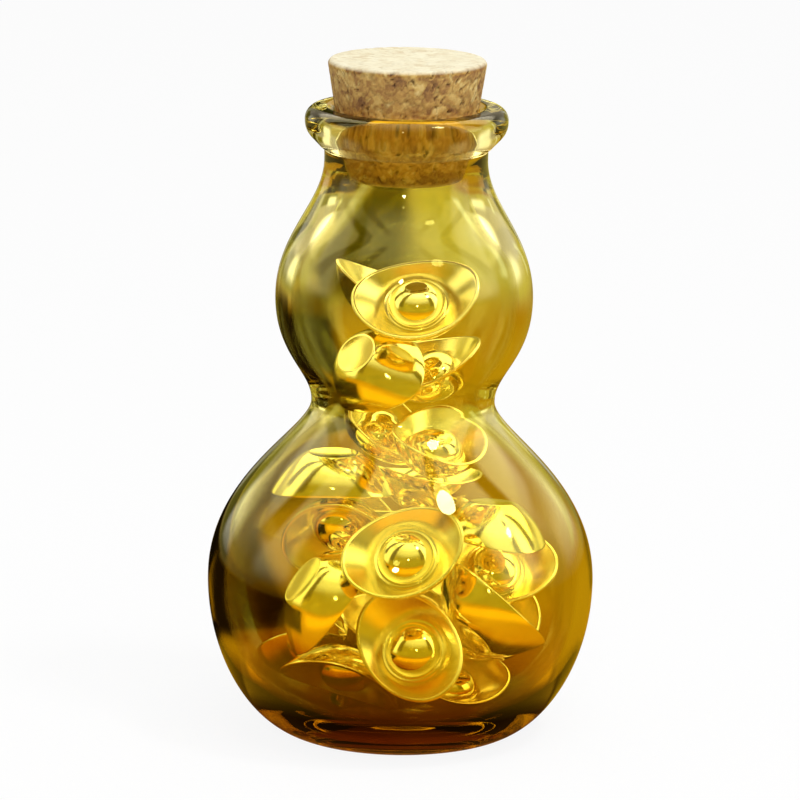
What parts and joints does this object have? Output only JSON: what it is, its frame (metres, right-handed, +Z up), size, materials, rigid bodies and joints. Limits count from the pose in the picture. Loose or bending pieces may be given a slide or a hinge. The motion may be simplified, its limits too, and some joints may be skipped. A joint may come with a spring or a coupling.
{
  "type": "gourd-shaped glass jar",
  "caption": "Gourd-shaped amber glass jar with a tapered cork stopper, filled with small gold boat-shaped ingots; the stopper lifts out of the neck.",
  "frame": {"origin": "centre of the jar's foot, on the surface it stands on", "axes": "+Z up along the jar's axis, -Y towards the front, +X to the right"},
  "size_m": [0.041, 0.041, 0.0724],
  "materials": {
    "amber_glass": "clear amber glass, smooth and glossy",
    "cork": "pressed cork granules, matt",
    "gold": "polished gold-coloured metal"
  },
  "bodies": {
    "jar": {"glass_jar": "amber_glass", "ingot_01": "gold", "ingot_02": "gold", "ingot_03": "gold", "ingot_04": "gold", "ingot_05": "gold", "ingot_06": "gold", "ingot_07": "gold", "ingot_08": "gold", "ingot_09": "gold", "ingot_10": "gold", "ingot_11": "gold", "ingot_12": "gold", "ingot_13": "gold", "ingot_14": "gold", "ingot_15": "gold", "ingot_16": "gold", "ingot_17": "gold", "ingot_18": "gold", "ingot_19": "gold", "ingot_20": "gold", "ingot_21": "gold", "ingot_22": "gold", "ingot_23": "gold", "ingot_24": "gold", "ingot_25": "gold", "ingot_26": "gold"},
    "stopper": {"cork_stopper": "cork"}
  },
  "joints": [
    {"name": "stopper_lift", "type": "slide", "parent": "jar", "child": "stopper", "axis": [0, 0, 1], "range_m": [0, 0.03]}
  ]
}
